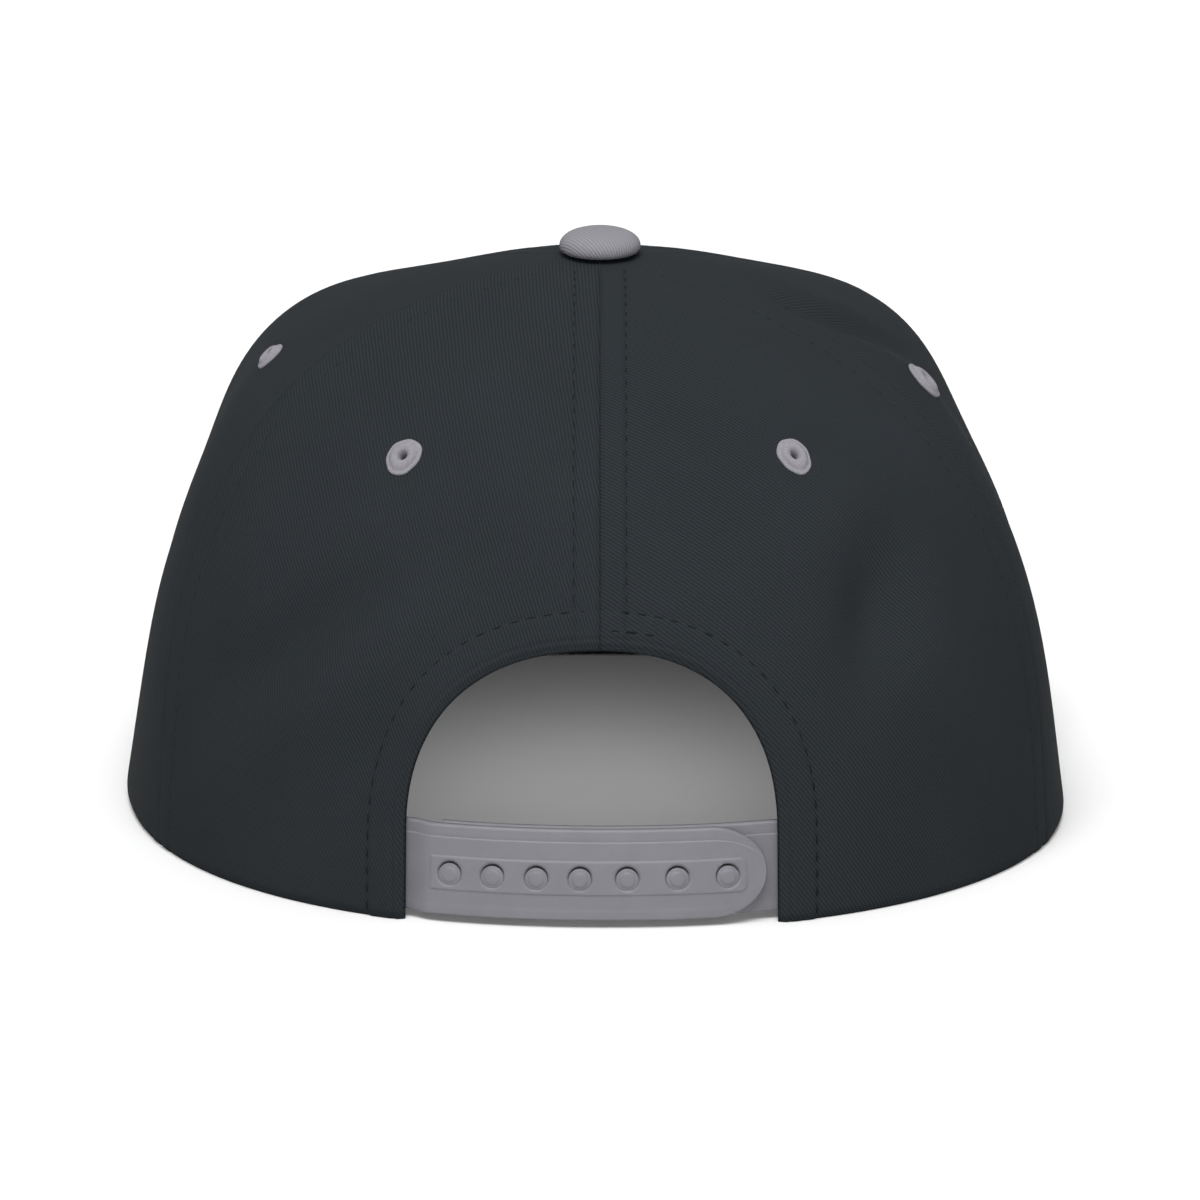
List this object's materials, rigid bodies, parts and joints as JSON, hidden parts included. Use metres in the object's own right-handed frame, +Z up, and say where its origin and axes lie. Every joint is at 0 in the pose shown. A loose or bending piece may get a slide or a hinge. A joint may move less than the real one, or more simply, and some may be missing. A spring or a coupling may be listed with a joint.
{
  "type": "snapback cap",
  "caption": "Structured snapback cap with a high panelled crown, a flat peak, a covered top button, sewn eyelets and a rear arch closed by a plastic snap strap.",
  "frame": {"origin": "bottom centre of the box round the whole cap, on the surface the rim rests on", "axes": "+Z up through the button, -Y towards the peak, +Y towards the rear closure, +X towards the wearer's left"},
  "size_m": [0.1772, 0.2508, 0.1088],
  "materials": {
    "dark_twill": "matte cotton twill, near-black blue grey",
    "grey_twill": "matte cotton twill, light grey",
    "grey_thread": "satin embroidery thread, light grey",
    "dark_tape": "matte woven band, near black",
    "grey_plastic": "satin moulded plastic, grey"
  },
  "bodies": {
    "root": {"front_panel": "dark_twill", "side_panel_left": "dark_twill", "side_panel_right": "dark_twill", "back_panel_left": "dark_twill", "back_panel_right": "dark_twill", "peak": "grey_twill", "button": "grey_twill", "eyelet_back_left": "grey_thread", "eyelet_back_right": "grey_thread", "eyelet_side_left": "grey_thread", "eyelet_side_right": "grey_thread", "sweatband": "dark_tape", "strap_outer": "grey_plastic", "strap_under": "grey_plastic"}
  },
  "joints": []
}
